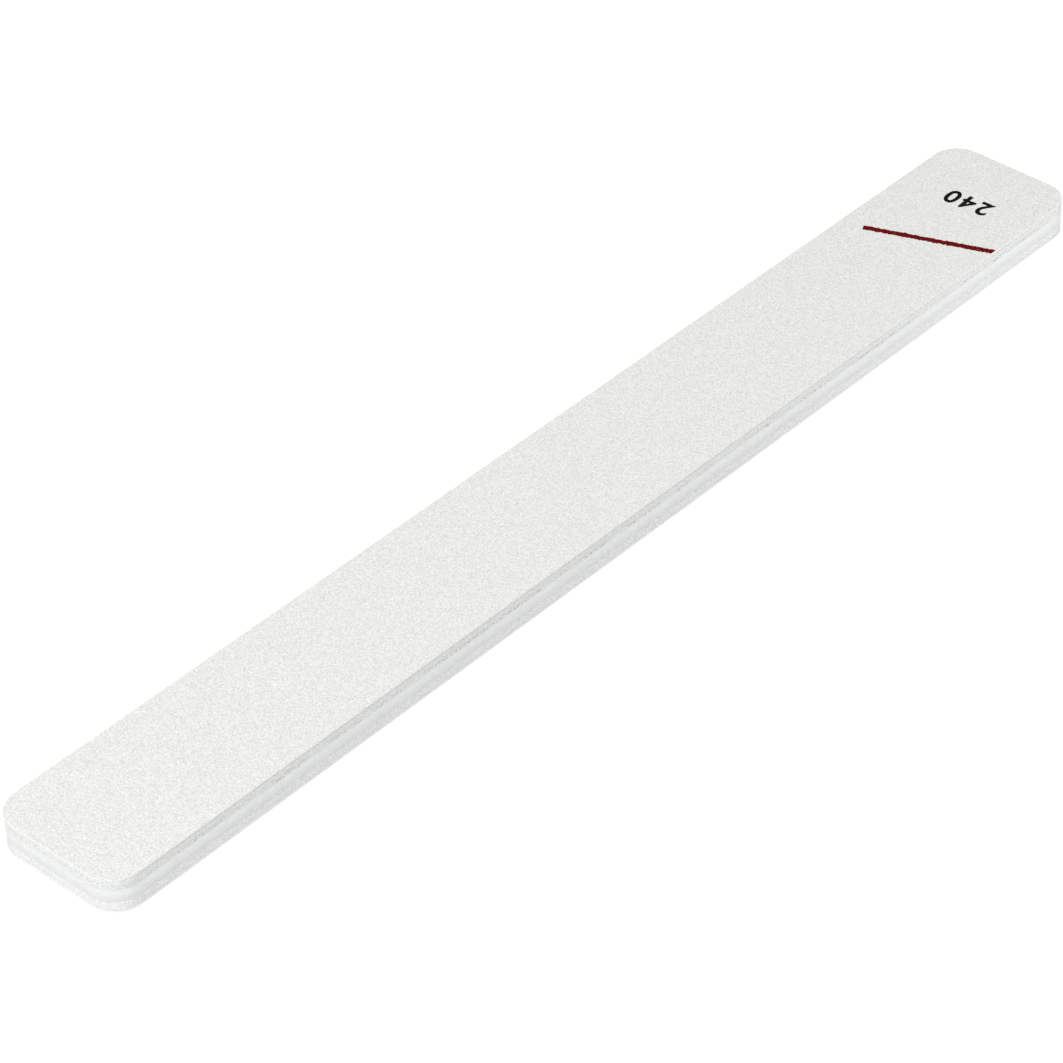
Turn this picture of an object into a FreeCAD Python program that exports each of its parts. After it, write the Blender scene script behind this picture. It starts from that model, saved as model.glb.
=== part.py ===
import FreeCAD
import Part
import os

# A cushioned emery board: a stiff plastic strip with a foam pad and an abrasive sheet glued to each face.
# X runs along the board, with the striped end at +X. Y runs across it, and Z is up.
# The origin is the middle of the lower face. Lengths are in millimetres.

# Outline, seen from above
BOARD_LENGTH = 178.0
BOARD_WIDTH = 20.5
CORNER_RADIUS = 4.0

# Thickness of each layer, from the core outwards
CORE_THICKNESS = 1.7
CORE_ADHESIVE_THICKNESS = 0.1
FOAM_THICKNESS = 1.2
SHEET_ADHESIVE_THICKNESS = 0.06
PAPER_THICKNESS = 0.19
GRIT_THICKNESS = 0.1

# How far the cut edge of a layer stands back from the outline, measured at its faces.
# The abrasive sheets reach the outline. The foam leans in a little from them to the core.
# The glue films stand back more than their neighbours, which leaves a groove at each glue line.
CORE_INSET = 0.08
CORE_ADHESIVE_INSET = 0.14
FOAM_CORE_INSET = 0.1
FOAM_SHEET_INSET = 0.03
SHEET_ADHESIVE_INSET = 0.1

# How far the cut edge swells out between those faces
CORE_CROWN = 0.07
FOAM_CROWN = 0.03

# Red stripe: a film of ink let into the upper grit, from near the left side to the right side
STRIPE_WIDTH = 0.8
STRIPE_DEPTH = 0.03
STRIPE_END_DISTANCE = 24.0  # along the board, from its +X end to the stripe's left end
STRIPE_SIDE_MARGIN = 3.5  # across the board, from its left side to the stripe's left end
STRIPE_LEAN_DEGREES = 20.9  # away from straight across, towards the +X end on the right

# Layers of one half of the board, from the core outwards:
# name, thickness, inset of the edge at the inner and the outer face, and crown of the edge
HALF_STACK = (
    ("core_adhesive", CORE_ADHESIVE_THICKNESS, CORE_ADHESIVE_INSET, CORE_ADHESIVE_INSET, 0),
    ("foam_pad", FOAM_THICKNESS, FOAM_CORE_INSET, FOAM_SHEET_INSET, FOAM_CROWN),
    ("sheet_adhesive", SHEET_ADHESIVE_THICKNESS, SHEET_ADHESIVE_INSET, SHEET_ADHESIVE_INSET, 0),
    ("backing_paper", PAPER_THICKNESS, 0, 0, 0),
    ("grit_coat", GRIT_THICKNESS, 0, 0, 0),
)

UP = FreeCAD.Vector(0, 0, 1)
QUARTER_TURN = 90


def outline(inset, z):
    """The board's rounded rectangle at height z, drawn in by inset. It starts on the +X end."""
    radius = CORNER_RADIUS - inset
    centre_x = BOARD_LENGTH / 2 - CORNER_RADIUS
    centre_y = BOARD_WIDTH / 2 - CORNER_RADIUS
    corners = []
    for turn, (side_x, side_y) in enumerate(((1, 1), (-1, 1), (-1, -1), (1, -1))):
        centre = FreeCAD.Vector(side_x * centre_x, side_y * centre_y, z)
        start = turn * QUARTER_TURN
        corners.append(Part.makeCircle(radius, centre, UP, start, start + QUARTER_TURN))
    edges = []
    for corner, following in zip(corners, corners[1:] + corners[:1]):
        side = Part.makeLine(corner.Vertexes[-1].Point, following.Vertexes[0].Point)
        edges += [corner, side]
    return Part.Wire(edges)


def slab(bottom, thickness, lower_inset, upper_inset, crown):
    """One layer: two flat faces, and the profile of its cut edge swept round the outline between them."""
    lower = outline(lower_inset, bottom)
    upper = outline(upper_inset, bottom + thickness)
    foot = lower.Edges[0].Vertexes[0].Point
    head = foot + FreeCAD.Vector(lower_inset - upper_inset, 0, thickness)
    swell = (foot + head) / 2 + FreeCAD.Vector(crown, 0, 0)
    profile = Part.Arc(foot, swell, head) if crown else Part.LineSegment(foot, head)
    edge_band = lower.makePipeShell([Part.Wire(profile.toShape())], False, False)
    skin = Part.makeShell(edge_band.Faces + [Part.Face(lower), Part.Face(upper)])
    skin.sewShape()
    return Part.makeSolid(skin)


def laminate():
    """Every layer by name, stacked from the lower grit coat up, and the height of the top face."""
    stack = []
    for name, thickness, inner, outer, crown in reversed(HALF_STACK):
        stack.append(("lower_" + name, thickness, outer, inner, crown))
    stack.append(("core_strip", CORE_THICKNESS, CORE_INSET, CORE_INSET, CORE_CROWN))
    for name, thickness, inner, outer, crown in HALF_STACK:
        stack.append(("upper_" + name, thickness, inner, outer, crown))
    layers = {}
    height = 0
    for name, thickness, lower_inset, upper_inset, crown in stack:
        layers[name] = slab(height, thickness, lower_inset, upper_inset, crown)
        height += thickness
    return layers, height


def stripe_film(top):
    """The slanting stripe, flush with the top face and trimmed to the board's outline."""
    bottom = top - STRIPE_DEPTH
    left_end_x = BOARD_LENGTH / 2 - STRIPE_END_DISTANCE
    left_end_y = BOARD_WIDTH / 2 - STRIPE_SIDE_MARGIN
    # The bar is as long as the board, so that it leaves the outline on the right at any lean
    corner = FreeCAD.Vector(-STRIPE_WIDTH / 2, -BOARD_LENGTH, 0)
    bar = Part.makeBox(STRIPE_WIDTH, BOARD_LENGTH, STRIPE_DEPTH, corner)
    bar.rotate(FreeCAD.Vector(), UP, STRIPE_LEAN_DEGREES)
    bar.translate(FreeCAD.Vector(left_end_x, left_end_y, bottom))
    return bar.common(slab(bottom, STRIPE_DEPTH, 0, 0, 0)).Solids[0]


pieces, top_face = laminate()
pieces["red_stripe"] = stripe_film(top_face)
pieces["upper_grit_coat"] = pieces["upper_grit_coat"].cut(pieces["red_stripe"]).Solids[0]

os.makedirs("parts", exist_ok=True)
for name, piece in pieces.items():
    piece.exportStep(f"parts/{name}.step")
    print(f"{name}: {piece.Volume:.1f} mm3, valid {piece.isValid()}")
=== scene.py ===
# %% [markdown]
# # A cushioned emery board
# The board is a sandwich: a stiff plastic strip in the middle, a foam pad glued to each face of it, and
# a sheet of white abrasive paper glued over each pad. The CAD model holds those layers at their real
# size. This lesson loads it, keeps the layers whose shape is right, and models again the ones whose
# surface is the point of the object: the grit, the foam, the glue lines and the print.

# %% Load the CAD model
import math
import bmesh
import bpy
from mathutils import Matrix, Vector


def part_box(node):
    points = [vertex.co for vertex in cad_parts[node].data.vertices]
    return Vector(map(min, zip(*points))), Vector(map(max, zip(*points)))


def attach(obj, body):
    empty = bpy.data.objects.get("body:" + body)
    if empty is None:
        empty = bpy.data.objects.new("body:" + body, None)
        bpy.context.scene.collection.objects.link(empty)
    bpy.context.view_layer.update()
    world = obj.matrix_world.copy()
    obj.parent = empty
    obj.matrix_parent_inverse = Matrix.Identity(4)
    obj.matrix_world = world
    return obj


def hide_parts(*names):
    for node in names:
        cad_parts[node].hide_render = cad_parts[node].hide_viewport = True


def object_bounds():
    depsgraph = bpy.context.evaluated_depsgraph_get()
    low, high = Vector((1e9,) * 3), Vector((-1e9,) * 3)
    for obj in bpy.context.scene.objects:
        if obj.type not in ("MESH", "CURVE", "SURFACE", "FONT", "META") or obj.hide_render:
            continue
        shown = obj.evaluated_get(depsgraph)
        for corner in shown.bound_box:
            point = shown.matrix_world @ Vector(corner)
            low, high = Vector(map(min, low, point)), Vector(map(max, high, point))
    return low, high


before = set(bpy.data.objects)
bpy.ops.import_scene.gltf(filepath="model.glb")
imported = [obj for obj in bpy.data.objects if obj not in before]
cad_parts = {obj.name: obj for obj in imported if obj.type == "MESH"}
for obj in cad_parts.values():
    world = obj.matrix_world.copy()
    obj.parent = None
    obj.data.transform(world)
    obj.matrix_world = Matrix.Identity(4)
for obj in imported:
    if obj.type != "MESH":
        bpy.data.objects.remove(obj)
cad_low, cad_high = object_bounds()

MM = 0.001
board = cad_high - cad_low
print(f"The board is {board.x / MM:.1f} by {board.y / MM:.1f} by {board.z / MM:.1f} mm")

# %% [markdown]
# ## The camera
# A photograph fixes a camera: where it stands, where it looks and how long its lens is. The values here
# are in the board's own frame, so the render lines up with the picture. Building the camera's axes as a
# matrix is surer than turning Euler angles by hand, because each column is a direction to check.

# %% Place the camera
CAMERA_AZIMUTH = math.radians(-46.44)
CAMERA_ELEVATION = math.radians(38.45)
CAMERA_ROLL = math.radians(-2.292)
CAMERA_DISTANCE = 532.1 * MM
CAMERA_AIM = Vector((-9.382 * MM, -0.887 * MM, board.z / 2))
CAMERA_LENS = 146.63  # millimetres, on Blender's 36 mm wide sensor

across = math.cos(CAMERA_ELEVATION)
backwards = Vector((math.sin(CAMERA_AZIMUTH) * across, -math.cos(CAMERA_AZIMUTH) * across,
                    math.sin(CAMERA_ELEVATION)))
level_right = Vector((math.cos(CAMERA_AZIMUTH), math.sin(CAMERA_AZIMUTH), 0))
level_up = backwards.cross(level_right)
right = math.cos(CAMERA_ROLL) * level_right + math.sin(CAMERA_ROLL) * level_up
up = backwards.cross(right)
camera_axes = Matrix((right, up, backwards)).transposed().to_4x4()

camera_data = bpy.data.cameras.new("camera")
camera_data.lens = CAMERA_LENS
camera_data.clip_start = CAMERA_DISTANCE / 100
camera = bpy.data.objects.new("camera", camera_data)
camera.matrix_world = Matrix.Translation(CAMERA_AIM + backwards * CAMERA_DISTANCE) @ camera_axes
scene = bpy.context.scene
scene.collection.objects.link(camera)
scene.camera = camera
print("The camera stands at", [round(c / MM) for c in camera.matrix_world.translation], "mm")

# %% [markdown]
# ## Helpers for the finishes
# Colours are easiest to read as the hex values of a picture, but a shader works in linear light, so one
# function converts them. A second one adds a node, sets it and links it, which keeps each finish to a
# few lines. In a Mix node, input 0 is the share, 6 and 7 are the two colours, and output 2 is the mixed
# colour. Patterns are given by their real size in millimetres.

# %% Colour and node helpers
SOFT_BUMP = 0.3  # the share of its full strength that a bump has


def linear(hex_colour):
    """An sRGB hex colour as the linear red, green, blue and alpha that a shader takes."""
    shares = [int(hex_colour[place:place + 2], 16) / 255 for place in (1, 3, 5)]
    return [s / 12.92 if s <= 0.04045 else ((s + 0.055) / 1.055) ** 2.4 for s in shares] + [1.0]


def add_node(tree, kind, inputs, **settings):
    """Adds a node. An input is a value, or an output of another node, which is linked."""
    node = tree.nodes.new(kind)
    for name, value in settings.items():
        setattr(node, name, value)
    for name, value in inputs.items():
        if isinstance(value, bpy.types.NodeSocket):
            tree.links.new(value, node.inputs[name])
        else:
            node.inputs[name].default_value = value
    return node


def repeats(size):
    """The texture scale at which a pattern's cells have that size, in metres."""
    return 1 / size


def finish_named(name, roughness, ior):
    """A new material: its node tree, its main shader and the piece's own coordinates."""
    material = bpy.data.materials.new(name)
    material.use_nodes = True
    tree = material.node_tree
    shader = tree.nodes["Principled BSDF"]
    shader.inputs["Roughness"].default_value = roughness
    shader.inputs["IOR"].default_value = ior
    place = tree.nodes.new("ShaderNodeTexCoord").outputs["Object"]
    return material, tree, shader, place


print("Warm paper white in linear light:", [round(c, 3) for c in linear("#F0F0EC")])

# %% [markdown]
# ## The light and the floor
# The picture has even studio light: pale surroundings all round, a wide soft lamp over the near end, and
# a weaker one low on the right, by the far end, that brightens the long side there. A world of even
# white gives the fill, and two area lamps give the direction. The floor bounces light like pale grey
# paper. Its own glow is seen by the camera alone, so the floor reads as white and still keeps a shadow.

# %% Light the world
scene.view_settings.view_transform = "Standard"
SURROUNDINGS = 0.65  # light from all round, where 1 would light a white sheet to white


def seen_directly(tree):
    """An output that is 1 for what the camera sees, also in gloss and glass, and 0 for fill light."""
    rays = add_node(tree, "ShaderNodeLightPath", {}).outputs
    seen = rays["Is Camera Ray"]
    for kind in ("Is Glossy Ray", "Is Transmission Ray"):
        seen = add_node(tree, "ShaderNodeMath", {0: seen, 1: rays[kind]}, operation="MAXIMUM").outputs[0]
    return seen


world = bpy.data.worlds.new("studio")
world.use_nodes = True
scene.world = world
sky = world.node_tree
strength = add_node(sky, "ShaderNodeMapRange",
                    {"Value": seen_directly(sky), "To Min": SURROUNDINGS, "To Max": 1.0})
sky.nodes["Background"].inputs["Color"].default_value = linear("#FFFFFF")
sky.links.new(strength.outputs[0], sky.nodes["Background"].inputs["Strength"])
print("The surroundings light a white sheet to", SURROUNDINGS, "of white")


# %% Place the lamps
def area_lamp(name, place, target, size, share):
    """A square lamp aimed at target, which lights a white sheet facing it there to share of white."""
    data = bpy.data.lights.new(name, "AREA")
    data.size = size
    reach = target - place
    data.energy = share * math.pi ** 2 * reach.length_squared
    lamp = bpy.data.objects.new(name, data)
    lamp.location = place
    lamp.rotation_euler = reach.to_track_quat("-Z", "Y").to_euler()
    lamp.visible_camera = False
    scene.collection.objects.link(lamp)
    print(f"{name} gives {data.energy:.2f} W from {reach.length:.2f} m")


# Places and sizes in metres, and the share of white that each lamp gives
KEY_PLACE, KEY_SIZE, KEY_SHARE = Vector((-0.48, -0.14, 0.62)), 0.4, 0.505
FAR_PLACE, FAR_SIZE, FAR_SHARE = Vector((0.09, -0.085, 0.016)), 0.03, 0.187
FAR_AIM = 0.08  # along the board from its middle
middle = Vector((0, 0, board.z / 2))
far_side = Vector((FAR_AIM, cad_low.y, board.z / 2))
area_lamp("key_lamp", KEY_PLACE, middle, KEY_SIZE, KEY_SHARE)
area_lamp("far_side_lamp", FAR_PLACE, far_side, FAR_SIZE, FAR_SHARE)

# %% Lay the floor
FLOOR_SIZE = 4.0
FLOOR_GLOW = 0.5  # added for the camera alone, so that lit floor is white and shade on it still shows
FLOOR_COLOUR = linear("#DCDCDC")
bpy.ops.object.select_all(action="DESELECT")
bpy.ops.mesh.primitive_plane_add(size=FLOOR_SIZE, location=(0, 0, cad_low.z))
floor = bpy.context.object
floor.name = "floor"
paper = bpy.data.materials.new("matt_backdrop_paper")
paper.use_nodes = True
tree = paper.node_tree
tree.nodes.remove(tree.nodes["Principled BSDF"])
glow = add_node(tree, "ShaderNodeMath", {0: seen_directly(tree), 1: FLOOR_GLOW}, operation="MULTIPLY")
matt = add_node(tree, "ShaderNodeBsdfDiffuse", {"Color": FLOOR_COLOUR})
shine = add_node(tree, "ShaderNodeEmission", {"Strength": glow.outputs[0]})
both = add_node(tree, "ShaderNodeAddShader", {0: matt.outputs[0], 1: shine.outputs[0]})
tree.links.new(both.outputs[0], tree.nodes["Material Output"].inputs["Surface"])
floor.data.materials.append(paper)
print("The floor is", FLOOR_SIZE, "m square")

# %% [markdown]
# ## Helpers for the layers
# Every layer has the same outline, a long rectangle with rounded corners. By hand it is a plane whose
# corners are bevelled, and whose face is then extruded or inset to the layer's thickness. The edge is
# the only part that shows, so its long sides are divided until they can carry relief. The corner radius
# and the reach of each face are read from the CAD model.

# %% Read the outline
SAME_PLACE = 0.001 * MM  # points closer than this count as level


def reach_at(node, z):
    """Half the length of a CAD layer's face at height z."""
    points = [v.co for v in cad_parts[node].data.vertices]
    return max(p.x for p in points if abs(p.z - z) < SAME_PLACE)


def corner_radius(node):
    """The radius of a CAD layer's corners: what its straight end leaves of half its width."""
    low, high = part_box(node)
    points = [v.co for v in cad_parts[node].data.vertices]
    return high.y - max(p.y for p in points if p.x > high.x - SAME_PLACE)


print(f"The corners have a radius of {corner_radius('upper_backing_paper') / MM:.2f} mm")


# %% Draw an outline and raise a slab from it
EDGE_SPACING = 0.12 * MM  # between the points of a cut edge


def start_outline(name, high, z, radius):
    """A face with the board's outline at height z, selected, in edit mode."""
    bpy.ops.object.select_all(action="DESELECT")
    bpy.ops.mesh.primitive_plane_add(size=1, location=(0, 0, z))
    piece = bpy.context.object
    piece.name = name
    piece.scale = (2 * high.x, 2 * high.y, 1)
    bpy.ops.object.transform_apply(location=True, rotation=True, scale=True)
    bpy.ops.object.mode_set(mode="EDIT")
    bpy.ops.mesh.select_all(action="SELECT")
    corner_steps = round(radius * math.pi / 2 / EDGE_SPACING)
    bpy.ops.mesh.bevel(offset=radius, segments=corner_steps, affect="VERTICES")
    bpy.ops.mesh.select_mode(type="FACE")
    bpy.ops.mesh.select_all(action="SELECT")
    return piece


def close_up(piece, spacing):
    """Fills what is open of the piece in edit mode, divides long edges and turns its faces out."""
    bpy.ops.mesh.select_mode(type="EDGE")
    bpy.ops.mesh.select_all(action="DESELECT")
    bpy.ops.mesh.select_non_manifold()
    bpy.ops.mesh.edge_face_add()
    while True:
        sketch = bmesh.from_edit_mesh(piece.data)
        for edge in sketch.edges:
            edge.select = edge.calc_length() > spacing
        sketch.select_flush_mode()
        if not any(edge.select for edge in sketch.edges):
            break
        bpy.ops.mesh.subdivide(number_cuts=1)
    bpy.ops.mesh.select_all(action="SELECT")
    bpy.ops.mesh.normals_make_consistent(inside=False)
    bpy.ops.object.mode_set(mode="OBJECT")


def rounded_slab(name, low, high, radius, rows, spacing):
    """A closed slab with the board's outline, with that many rows of faces round its edge."""
    slab = start_outline(name, high, low.z, radius)
    for _ in range(rows):
        step = (0, 0, (high.z - low.z) / rows)
        bpy.ops.mesh.extrude_region_move(TRANSFORM_OT_translate={"value": step})
    close_up(slab, spacing)
    return slab


def apply_modifier(piece, kind, **settings):
    """Adds a modifier to the piece and applies it at once."""
    bpy.ops.object.select_all(action="DESELECT")
    bpy.context.view_layer.objects.active = piece
    piece.select_set(True)
    modifier = piece.modifiers.new(kind.lower(), kind)
    for name, value in settings.items():
        setattr(modifier, name, value)
    bpy.ops.object.modifier_apply(modifier=modifier.name)


def weigh(piece, group_name, weight_of):
    """A vertex group whose weights come from each point's place."""
    group = piece.vertex_groups.new(name=group_name)
    for vertex in piece.data.vertices:
        group.add([vertex.index], weight_of(vertex.co), "REPLACE")
    return group.name


print("Cut edges carry a point every", EDGE_SPACING / MM, "mm")

# %% [markdown]
# ## The foam pads
# Each pad is white closed-cell polyethylene foam, cut with the board by a die. The squeezed foam leans
# in from the sheet to the core, and the cut opens cells along the edge, which gives the edge its
# speckle. The die enters from above and pinches the foam right under the upper sheet, so a groove shades
# the line there. Under the lower sheet it hardly does. The pinch is an extrusion made wider, and the
# lean is a row of insets, each a little wider than the last, so that the edge curves in. The opened
# cells are a Displace modifier with a cell texture, which leaves the rims.

# %% Model the foam pads
FOAM_CELL = 0.22 * MM  # fine foam has cells near 0.1 mm; coarser here, so that they show
FOAM_CELL_DEPTH = 0.05 * MM
FOAM_ROWS = 9
FOAM_PINCH_HEIGHT = 0.14 * MM
UPPER_PINCH, LOWER_PINCH = 0.12 * MM, 0.03 * MM

cells = bpy.data.textures.new("foam_cells", "VORONOI")
cells.noise_scale = FOAM_CELL
cells.distance_metric = "DISTANCE"


def foam_pad(name, node, sheet_z, core_z, pinch):
    """pinch is how far the foam is drawn in under the sheet."""
    low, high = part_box(node)
    lean = high.x - reach_at(node, core_z)
    rise = math.copysign(FOAM_PINCH_HEIGHT, core_z - sheet_z)
    narrow = high - Vector((pinch, pinch, 0))
    pad = start_outline(name, narrow, sheet_z, corner_radius(node) - pinch)
    bpy.ops.mesh.extrude_region_move(TRANSFORM_OT_translate={"value": (0, 0, rise)})
    bpy.ops.transform.resize(value=(high.x / narrow.x, high.y / narrow.y, 1))
    for row in range(FOAM_ROWS):
        share, next_share = row / FOAM_ROWS, (row + 1) / FOAM_ROWS
        bpy.ops.mesh.inset(thickness=lean * (next_share ** 2 - share ** 2),
                           depth=(core_z - sheet_z - rise) / FOAM_ROWS)
    close_up(pad, EDGE_SPACING)
    cut = weigh(pad, "cut_edge", lambda p: float(low.z + SAME_PLACE < p.z < high.z - SAME_PLACE))
    apply_modifier(pad, "DISPLACE", texture=cells, texture_coords="LOCAL", strength=FOAM_CELL_DEPTH,
                   mid_level=1, vertex_group=cut)
    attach(pad, "root")
    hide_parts(node)
    print(name, "leans in by", round(lean / MM, 2), "mm and has", len(pad.data.vertices), "points")
    return pad


upper_low, upper_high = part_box("upper_foam_pad")
lower_low, lower_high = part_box("lower_foam_pad")
upper_foam = foam_pad("upper_cushion", "upper_foam_pad", upper_high.z, upper_low.z, UPPER_PINCH)
lower_foam = foam_pad("lower_cushion", "lower_foam_pad", lower_low.z, lower_high.z, LOWER_PINCH)

# %% Find the dust by the glue
DUST_REACH = 0.5 * MM
DUST_CLUSTER = 3.0 * MM
DUST_SPECK = 0.3 * MM  # coarser than real dust, so that it shows
END_REACH = 6.0 * MM  # from this far in, there is less dust towards each end, and the core's colour is darker
UPPER_DUST, LOWER_DUST = 1.0, 0.4  # more of it settles on the upper line


def by_end(tree, place, along, at_end):
    """An output that has one value along the board and comes to another at its two ends."""
    x = add_node(tree, "ShaderNodeSeparateXYZ", {"Vector": place}).outputs["X"]
    out = add_node(tree, "ShaderNodeMath", {0: x}, operation="ABSOLUTE")
    return add_node(tree, "ShaderNodeMapRange", {"Value": out.outputs[0], "From Max": board.x / 2,
                    "From Min": board.x / 2 - END_REACH, "To Min": along, "To Max": at_end})


def dust_by_glue(tree, place):
    """An output that is 1 where dust lies: specks in clusters along the glue lines of the core."""
    z = add_node(tree, "ShaderNodeSeparateXYZ", {"Vector": place}).outputs["Z"]
    amount = 0.0
    for line, share in ((upper_low.z, UPPER_DUST), (lower_high.z, LOWER_DUST)):
        gap = add_node(tree, "ShaderNodeMath", {0: z, 1: line}, operation="SUBTRACT")
        gap = add_node(tree, "ShaderNodeMath", {0: gap.outputs[0]}, operation="ABSOLUTE")
        near = add_node(tree, "ShaderNodeMapRange", {"Value": gap.outputs[0], "From Max": DUST_REACH,
                        "To Min": share, "To Max": 0.0})
        amount = add_node(tree, "ShaderNodeMath", {0: near.outputs[0], 1: amount},
                          operation="MAXIMUM").outputs[0]
    masks = [by_end(tree, place, 1.0, 0.0)]
    # The size and detail of each noise, and the values at which dust starts and is full
    for size, detail, least, most in ((DUST_CLUSTER, 1.0, 0.35, 0.6), (DUST_SPECK, 2.0, 0.52, 0.64)):
        noise = add_node(tree, "ShaderNodeTexNoise", {"Vector": place, "Scale": repeats(size),
                         "Detail": detail})
        masks.append(add_node(tree, "ShaderNodeMapRange", {"Value": noise.outputs["Fac"],
                              "From Min": least, "From Max": most}))
    for mask in masks:
        amount = add_node(tree, "ShaderNodeMath", {0: amount, 1: mask.outputs[0]},
                          operation="MULTIPLY").outputs[0]
    return amount


print(f"Dust lies within {DUST_REACH / MM} mm of {upper_low.z / MM:.2f} and {lower_high.z / MM:.2f} mm")

# %% Finish the foam
# White polyethylene foam, die-cut: matt, with faintly shaded pits where the cut opened the cells, and
# dust that sticks to the glue at the rim by the core.
FOAM_CLOUD = 0.12 * MM
FOAM_PIT_DEPTH = 0.04 * MM
PIT_SHADE, RIM_SHADE = 0.55, 1.1  # the depth values of the darkest pit and the brightest rim
foam, tree, shader, place = finish_named("die_cut_polyethylene_foam", roughness=0.85, ior=1.5)
pits = add_node(tree, "ShaderNodeTexVoronoi", {"Vector": place, "Scale": repeats(FOAM_CELL)})
cloud = add_node(tree, "ShaderNodeTexNoise", {"Vector": place, "Scale": repeats(FOAM_CLOUD),
                 "Detail": 2.0})
depth = add_node(tree, "ShaderNodeMath", {0: pits.outputs["Distance"], 1: cloud.outputs["Fac"]},
                 operation="ADD")
depth = add_node(tree, "ShaderNodeMapRange", {"Value": depth.outputs[0], "From Min": PIT_SHADE,
                 "From Max": RIM_SHADE})
tone = add_node(tree, "ShaderNodeMix", {0: depth.outputs[0], 6: linear("#D2D2D2"), 7: linear("#F5F5F5")},
                data_type="RGBA")
tone = add_node(tree, "ShaderNodeMix", {0: dust_by_glue(tree, place), 6: tone.outputs[2],
                7: linear("#A4A4A4")}, data_type="RGBA")
tree.links.new(tone.outputs[2], shader.inputs["Base Color"])
rough = add_node(tree, "ShaderNodeBump", {"Height": depth.outputs[0], "Strength": SOFT_BUMP,
                 "Distance": FOAM_PIT_DEPTH})
tree.links.new(rough.outputs[0], shader.inputs["Normal"])
for pad in (upper_foam, lower_foam):
    pad.data.materials.append(foam)
print("Foam cells are", FOAM_CELL / MM, "mm across")

# %% [markdown]
# ## The glue lines
# A film of acrylic glue bonds each pad to the core. The pads press it out until it is nearly flush, a
# little more here and less there, and where it is out it picks up dust. A slab with one middle ring
# round its edge is enough: a Displace modifier moves that ring in and out by a cloud texture.

# %% Model the glue lines
GLUE_SQUEEZE = 0.05 * MM  # how far the film is pressed out
GLUE_SWING = 0.1 * MM  # between the most and the least of it
GLUE_BEAD = 0.7 * MM  # the size of a bulge in it
squeeze = bpy.data.textures.new("glue_squeeze", "CLOUDS")
squeeze.noise_scale = GLUE_BEAD
squeeze.noise_depth = 3


def glue_line(name, node):
    """A film that is pressed out unevenly, in place of a CAD one."""
    low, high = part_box(node)
    squeeze_out = Vector((GLUE_SQUEEZE, GLUE_SQUEEZE, 0))
    film = rounded_slab(name, low - squeeze_out, high + squeeze_out, corner_radius(node) + GLUE_SQUEEZE,
                        rows=2, spacing=EDGE_SPACING)
    half_way = (low.z + high.z) / 2
    ring = weigh(film, "ring", lambda p: float(abs(p.z - half_way) < SAME_PLACE))
    apply_modifier(film, "DISPLACE", texture=squeeze, texture_coords="LOCAL", strength=GLUE_SWING,
                   mid_level=0.5, vertex_group=ring)
    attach(film, "root")
    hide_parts(node)
    print(name, "has", len(film.data.vertices), "points")
    return film


glue_films = [glue_line("upper_glue_line", "upper_core_adhesive"),
              glue_line("lower_glue_line", "lower_core_adhesive")]

# %% Finish the glue
# Acrylic transfer adhesive: a soft, slightly shiny film. By the core it is pressed out clear and pale,
# and darkens with the dust. Under the upper sheet its colour is darkened with painted shade, for the
# shade below the sheet's edge, and less so towards the printed end.
SHADE_FADE_START, SHADE_FADE_END = 10 * MM, 60 * MM  # where it starts to fade along the board, and stops
LEAST_PAINTED_SHADE = 0.3
glue, tree, shader, place = finish_named("acrylic_transfer_adhesive", roughness=0.5, ior=1.47)
x, _, z = add_node(tree, "ShaderNodeSeparateXYZ", {"Vector": place}).outputs
painted_shade = add_node(tree, "ShaderNodeMapRange", {"Value": x, "From Min": SHADE_FADE_START, "From Max": SHADE_FADE_END,
                 "To Min": 1.0, "To Max": LEAST_PAINTED_SHADE})
# Painted shade: the colour darkens from the core up to the glue under the upper sheet, less towards the
# printed end.
shade_under_sheet = add_node(tree, "ShaderNodeMapRange", {"Value": z, "From Min": upper_low.z,
                    "From Max": upper_high.z, "To Max": painted_shade.outputs[0]})
tone = add_node(tree, "ShaderNodeMix", {0: dust_by_glue(tree, place), 6: linear("#E6E6E6"),
                7: linear("#989898")}, data_type="RGBA")
tone = add_node(tree, "ShaderNodeMix", {0: shade_under_sheet.outputs[0], 6: tone.outputs[2],
                7: linear("#6A6A6A")}, data_type="RGBA")
tree.links.new(tone.outputs[2], shader.inputs["Base Color"])
glue_films += [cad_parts[node] for node in ("upper_sheet_adhesive", "lower_sheet_adhesive")]
for film in glue_films:
    film.data.materials.clear()
    film.data.materials.append(glue)
print("Glue on", len(glue_films), "films")

# %% [markdown]
# ## The grit
# The working faces are paper coated with white aluminium oxide grains and a chalky coat that keeps
# filings from clogging them. The grains here are real relief: a fine grid whose points are moved at
# random, each by a few hundredths of a millimetre. The sheet is then cut to the outline with a Boolean,
# as the die cuts it, so the cut runs through the grains. The die also rolls the sheet's edge over, so
# the cutter is an outline inset in steps, each leaning more than the last.

# %% Model the grit sheets
GRAIN_SPACING = 0.22 * MM  # real grains are near 0.06 mm; coarser here, so that they show
GRAIN_HEIGHT = 0.022 * MM
INK_FILM = 0.006 * MM  # room left above the grains for the print
DIE_RAG = 0.04 * MM  # how far the cut wanders
EDGE_ROLL = ((0.01, 0.13), (0.05, 0.035), (0.32, 0.105))  # inset and rise of each step, in millimetres
SHEET_MARGIN = 0.5 * MM  # what the die cuts off
UPPER_SEED, LOWER_SEED = 11, 23


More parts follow.
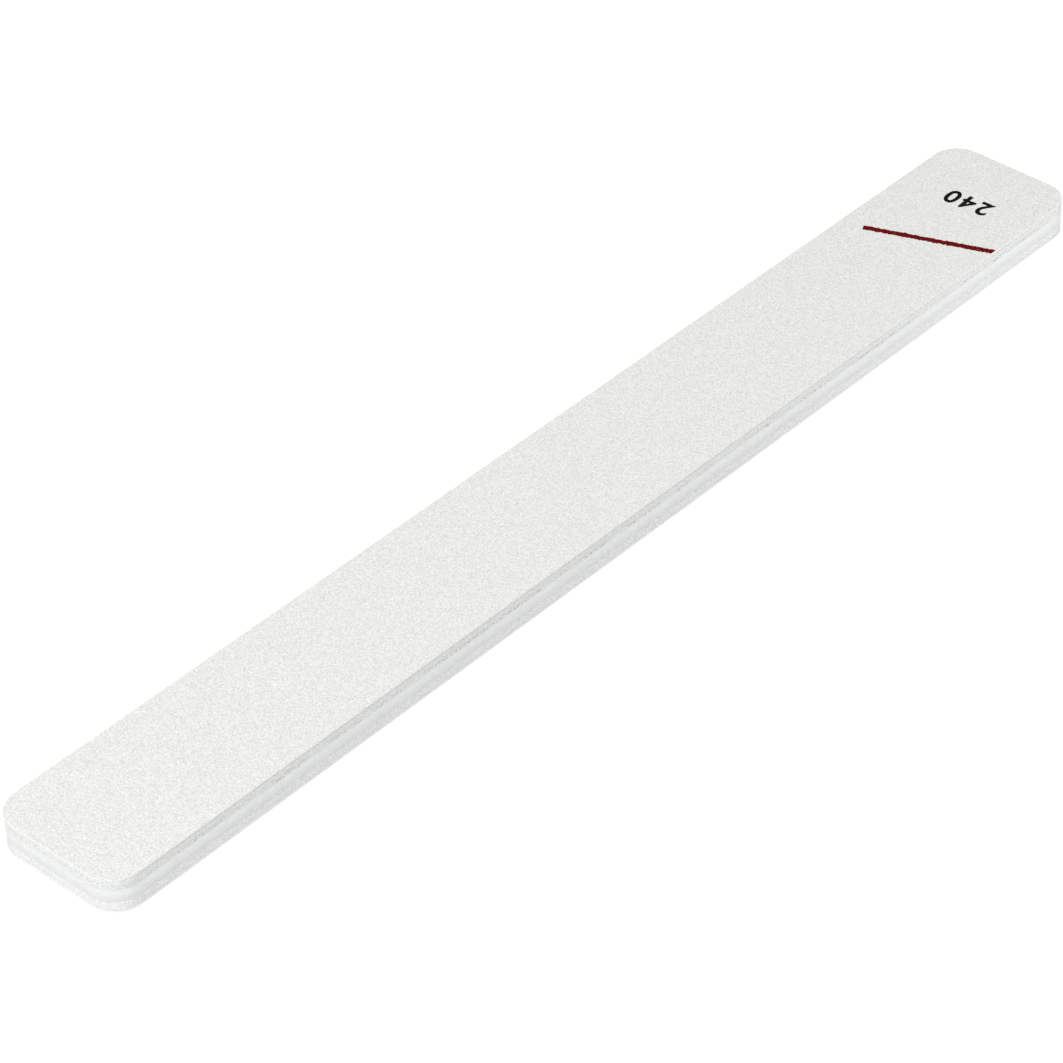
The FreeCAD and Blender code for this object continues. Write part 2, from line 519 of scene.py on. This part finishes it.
def grit_sheet(name, node, facing, seed):
    """facing is 1 for the sheet on top and -1 for the one underneath."""
    low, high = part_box(node)
    size = high - low
    outer, inner = (high.z, low.z) if facing > 0 else (low.z, high.z)
    length, width = size.x + 2 * SHEET_MARGIN, size.y + 2 * SHEET_MARGIN
    bpy.ops.object.select_all(action="DESELECT")
    bpy.ops.mesh.primitive_grid_add(x_subdivisions=round(length / GRAIN_SPACING), size=1,
                                    y_subdivisions=round(width / GRAIN_SPACING),
                                    location=(0, 0, outer - facing * (GRAIN_HEIGHT + INK_FILM)))
    sheet = bpy.context.object
    sheet.name = name
    sheet.scale = (length, width, 1)
    bpy.ops.object.transform_apply(location=True, rotation=True, scale=True)
    bpy.ops.object.mode_set(mode="EDIT")
    bpy.ops.mesh.select_all(action="SELECT")
    bpy.ops.transform.vertex_random(offset=GRAIN_HEIGHT, uniform=1.0, normal=0.0, seed=seed)
    bpy.ops.mesh.select_mode(type="EDGE")
    bpy.ops.mesh.region_to_loop()
    bpy.ops.mesh.extrude_edges_move(TRANSFORM_OT_translate={"value": (0, 0, 0)})
    bpy.ops.transform.resize(value=(1, 1, 0))
    sketch = bmesh.from_edit_mesh(sheet.data)
    rim_height = next(v.co.z for v in sketch.verts if v.select)
    bpy.ops.transform.translate(value=(0, 0, inner - rim_height))
    close_up(sheet, board.x)  # fills the back, and has no edge long enough to divide

    die = start_outline("die", high - Vector((DIE_RAG, DIE_RAG, 0)), inner - facing * 2 * DIE_RAG,
                        corner_radius(node) - DIE_RAG)
    for roll, rise in EDGE_ROLL:
        bpy.ops.mesh.inset(thickness=roll * MM, depth=facing * rise * MM)
    close_up(die, GRAIN_SPACING)
    bpy.ops.object.mode_set(mode="EDIT")
    bpy.ops.mesh.select_all(action="SELECT")
    bpy.ops.transform.vertex_random(offset=DIE_RAG, uniform=1.0, normal=0.0, seed=seed + 1)
    bpy.ops.object.mode_set(mode="OBJECT")
    for solid in (sheet, die):
        apply_modifier(solid, "TRIANGULATE")  # flat faces, so that the cut closes cleanly
    apply_modifier(sheet, "BOOLEAN", operation="INTERSECT", solver="MANIFOLD", object=die)
    bpy.data.objects.remove(die)
    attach(sheet, "root")
    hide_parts(node)
    print(name, "has", sum(len(p.vertices) - 2 for p in sheet.data.polygons), "triangles")
    return sheet


upper_grit = grit_sheet("upper_abrasive", "upper_grit_coat", 1, UPPER_SEED)
lower_grit = grit_sheet("lower_abrasive", "lower_grit_coat", -1, LOWER_SEED)

# %% Finish the grit
# White aluminium oxide under a chalky stearate coat: dead matt and a warm white. Each grain has its own
# tone, because the coat is thicker on some than on others, and a fine bump rounds it.
GRAIN_SPECKLE = 0.12 * MM  # coarser than a real grain, so that it shows
GRAIN_BUMP = 0.02 * MM
grit, tree, shader, place = finish_named("stearate_coated_white_grit", roughness=0.9, ior=1.5)
grains = add_node(tree, "ShaderNodeTexVoronoi", {"Vector": place, "Scale": repeats(GRAIN_SPECKLE)})
tone = add_node(tree, "ShaderNodeMix", {0: grains.outputs["Color"], 6: linear("#CFCFCC"),
                7: linear("#FBFBF7")}, data_type="RGBA")
tree.links.new(tone.outputs[2], shader.inputs["Base Color"])
rough = add_node(tree, "ShaderNodeBump", {"Height": grains.outputs["Distance"], "Strength": SOFT_BUMP,
                 "Distance": GRAIN_BUMP}, invert=True)
tree.links.new(rough.outputs[0], shader.inputs["Normal"])
for sheet in (upper_grit, lower_grit):
    sheet.data.materials.clear()  # the Boolean left an empty slot
    sheet.data.materials.append(grit)
print("Grains are drawn", GRAIN_SPECKLE / MM, "mm across")

# %% [markdown]
# ## The print
# The end of the board carries a slanting red line and a grade number, printed on the grit. Ink follows
# the grains, and its outline is as ragged as they are. Each mark is a thin solid, remeshed finely, whose
# top is projected on to the grit with a Shrinkwrap modifier. The line runs off the board's right side,
# so its bar is longer than the printed line and is cut there with Bisect.

# %% Lay ink on the grains
INK_GRAIN = 0.05 * MM  # between the points of the remeshed ink
INK_FRAY = 0.22 * MM  # the size of the teeth of its edge
INK_ROOT = 0.08 * MM  # how deep the ink's solid reaches into the grit
ragged = bpy.data.textures.new("ragged_ink", "CLOUDS")
ragged.noise_scale = INK_FRAY
ragged.noise_depth = 1


def lay_on_grit(piece, spread, rag, directions):
    """Remeshes a flat solid that stands in the grit, spreads and frays it, and lays its top down."""
    apply_modifier(piece, "REMESH", mode="VOXEL", voxel_size=INK_GRAIN)
    apply_modifier(piece, "DISPLACE", strength=spread, mid_level=0)
    for direction in directions:
        apply_modifier(piece, "DISPLACE", texture=ragged, texture_coords="LOCAL", direction=direction,
                       strength=rag, mid_level=0.5)
    top = weigh(piece, "top", lambda p: float(p.z > board.z - INK_ROOT / 2))
    apply_modifier(piece, "SHRINKWRAP", target=upper_grit, wrap_method="PROJECT", use_project_z=True,
                   use_negative_direction=True, use_positive_direction=True, offset=INK_FILM,
                   vertex_group=top)
    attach(piece, "root")
    highest = max(v.co.z for v in piece.data.vertices)
    print(f"{piece.name} has {len(piece.data.vertices)} points, the highest at {highest / MM:.3f} mm")


# %% Print the stripe
STRIPE_WIDTH = 0.8 * MM
STRIPE_LEAN = math.radians(20.9)
STRIPE_SPREAD = 0.06 * MM  # the wet ink's spread
STRIPE_RAG = 0.42 * MM  # the most that its edge wanders, from side to side
STRIPE_SHIFT = 0.2 * MM  # along its length, so that the spread ink starts where the line does
STRIPE_END_ROOM = 0.2 * MM  # keeps the spread ink clear of the sheet's edge
stripe_low, stripe_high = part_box("red_stripe")
stripe_axis = Vector((math.sin(STRIPE_LEAN), -math.cos(STRIPE_LEAN), 0))
stripe_middle = (stripe_low + stripe_high) / 2 + stripe_axis * STRIPE_SHIFT
stripe_span = stripe_high.y - stripe_low.y
bpy.ops.object.select_all(action="DESELECT")
bpy.ops.mesh.primitive_cube_add(size=1, location=(stripe_middle.x, stripe_middle.y, board.z))
stripe = bpy.context.object
stripe.name = "printed_stripe"
stripe.scale = (STRIPE_WIDTH, stripe_span / math.cos(STRIPE_LEAN), 2 * INK_ROOT)
stripe.rotation_euler = (0, 0, STRIPE_LEAN)
bpy.ops.object.transform_apply(location=True, rotation=True, scale=True)
bpy.ops.object.mode_set(mode="EDIT")
bpy.ops.mesh.select_all(action="SELECT")
bpy.ops.mesh.bisect(plane_co=(0, cad_low.y + STRIPE_END_ROOM, 0), plane_no=(0, -1, 0), clear_outer=True,
                    use_fill=True)
bpy.ops.object.mode_set(mode="OBJECT")
lay_on_grit(stripe, STRIPE_SPREAD, STRIPE_RAG, "X")
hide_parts("red_stripe")

# %% Print the number
NUMBER_SIZE = 4.1 * MM  # gives digits 3.0 mm tall
NUMBER_PLACE = Vector((78.65 * MM, -0.5 * MM, board.z))
NUMBER_TURN = math.radians(93)  # so that it is read from the printed end
NUMBER_SPACING = 1.22
NUMBER_SPREAD = 0.1 * MM  # the wet ink's spread, which makes the strokes 0.5 mm wide
NUMBER_RAG = 0.1 * MM
bpy.ops.object.select_all(action="DESELECT")
bpy.ops.object.text_add()
number = bpy.context.object
number.name = "grade_number"
number.data.body = "240"
number.data.align_x = "CENTER"
number.data.align_y = "CENTER"
number.data.size = NUMBER_SIZE
number.data.space_character = NUMBER_SPACING
number.data.extrude = INK_ROOT
bpy.ops.object.convert(target="MESH")
number.location = NUMBER_PLACE
number.rotation_euler = (0, 0, NUMBER_TURN)
bpy.ops.object.transform_apply(location=True, rotation=True, scale=True)
lay_on_grit(number, NUMBER_SPREAD, NUMBER_RAG, "XY")
print("The number is", [round(c / MM, 2) for c in number.dimensions], "mm")

# %% Finish the inks
# Screen ink, dried matt on the grains: thicker and darker on some of them than on others.
for piece, name, thick, thin in ((stripe, "dark_red_screen_ink", "#5A0406", "#72060B"),
                                 (number, "black_screen_ink", "#080806", "#151511")):
    ink, tree, shader, place = finish_named(name, roughness=0.7, ior=1.5)
    shader.inputs["Specular IOR Level"].default_value = 0.05  # a porous matt ink has little gloss
    grains = add_node(tree, "ShaderNodeTexVoronoi", {"Vector": place, "Scale": repeats(GRAIN_SPECKLE)})
    tone = add_node(tree, "ShaderNodeMix", {0: grains.outputs["Color"], 6: linear(thick),
                    7: linear(thin)}, data_type="RGBA")
    tree.links.new(tone.outputs[2], shader.inputs["Base Color"])
    piece.data.materials.append(ink)
    print(piece.name, "is", name)

# %% [markdown]
# ## The layers that keep their CAD shape
# The core strip, the backing papers and the glue under the sheets are true in the CAD model, so they
# only need finishes. The glue has its own already. An extruded strip shows faint streaks along its
# length where the die cut it, and the paper shows its fibres.

# %% Finish the core
# High-impact polystyrene, extruded and die-cut: a cool white with a half-gloss cut edge. The colour is
# lighter towards the top of the edge and darker towards its foot: painted light and shade, for the
# rounded edge whose upper part faces the light. The upper rim is darker with painted shade, and the
# colour is darker towards the ends.
STREAK_WIDTH = 0.2 * MM  # coarser than real ones, so that they show
STREAK_DULL, STREAK_BRIGHT = 0.3, 0.7  # the noise values of the dullest and the brightest streak
STREAK_STRETCH = 4  # how many times longer than wide
PAINTED_LIGHT_SHARE = 0.4  # how much lighter at the top and darker at the foot the painted light and shade make the streaks
RIM_HEIGHT, RIM_PAINTED_SHADE = 0.3 * MM, 0.7  # and how much darker the painted shade makes the rim
END_SHARE = 0.35  # and the ends
core, tree, shader, place = finish_named("extruded_polystyrene_strip", roughness=0.6, ior=1.59)
shader.inputs["Specular IOR Level"].default_value = 0.3  # a cut edge has less gloss than a face
along = add_node(tree, "ShaderNodeMapping", {"Vector": place,
                 "Scale": (1 / STREAK_STRETCH, 1 / STREAK_STRETCH, 1)})
streaks = add_node(tree, "ShaderNodeTexNoise", {"Vector": along.outputs[0],
                   "Scale": repeats(STREAK_WIDTH), "Detail": 3.0})
core_low, core_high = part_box("core_strip")
z = add_node(tree, "ShaderNodeSeparateXYZ", {"Vector": place}).outputs["Z"]
# Painted light and shade: the colour is lighter towards the top of the edge and darker towards its foot.
painted_light_and_shade = add_node(tree, "ShaderNodeMapRange", {"Value": z, "From Min": core_low.z,
                  "From Max": core_high.z, "To Min": -PAINTED_LIGHT_SHARE, "To Max": PAINTED_LIGHT_SHARE})
streaks = add_node(tree, "ShaderNodeMapRange", {"Value": streaks.outputs["Fac"],
                   "From Min": STREAK_DULL, "From Max": STREAK_BRIGHT})
# Painted shade: the colour is darker along the upper rim, below the upper glue line.
painted_rim_shade = add_node(tree, "ShaderNodeMapRange", {"Value": z, "From Min": core_high.z - RIM_HEIGHT,
                  "From Max": core_high.z, "To Max": -RIM_PAINTED_SHADE})
streaks_and_painted_light = streaks
# The core's colour is also darker towards the ends.
for change in (painted_light_and_shade, painted_rim_shade, by_end(tree, place, 0.0, -END_SHARE)):
    streaks_and_painted_light = add_node(tree, "ShaderNodeMath", {0: streaks_and_painted_light.outputs[0], 1: change.outputs[0]},
                     operation="ADD")
tone = add_node(tree, "ShaderNodeMix", {0: streaks_and_painted_light.outputs[0], 6: linear("#E9EAEB"), 7: linear("#F8F9FA")},
                data_type="RGBA")
tree.links.new(tone.outputs[2], shader.inputs["Base Color"])
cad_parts["core_strip"].data.materials.clear()
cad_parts["core_strip"].data.materials.append(core)
print("The core is", core.name)

# %% Finish the paper
# Latex-saturated paper: matt, with short soft fibres along the cut.
FIBRE = 0.2 * MM  # coarser than real ones, so that they show
backing, tree, shader, place = finish_named("latex_saturated_paper", roughness=0.8, ior=1.5)
fibres = add_node(tree, "ShaderNodeTexNoise", {"Vector": place, "Scale": repeats(FIBRE), "Detail": 3.0})
tone = add_node(tree, "ShaderNodeMix", {0: fibres.outputs["Fac"], 6: linear("#EDEDEB"),
                7: linear("#FDFDFA")}, data_type="RGBA")
tree.links.new(tone.outputs[2], shader.inputs["Base Color"])
for node in ("upper_backing_paper", "lower_backing_paper"):
    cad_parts[node].data.materials.clear()
    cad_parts[node].data.materials.append(backing)
print("The backing is", backing.name)
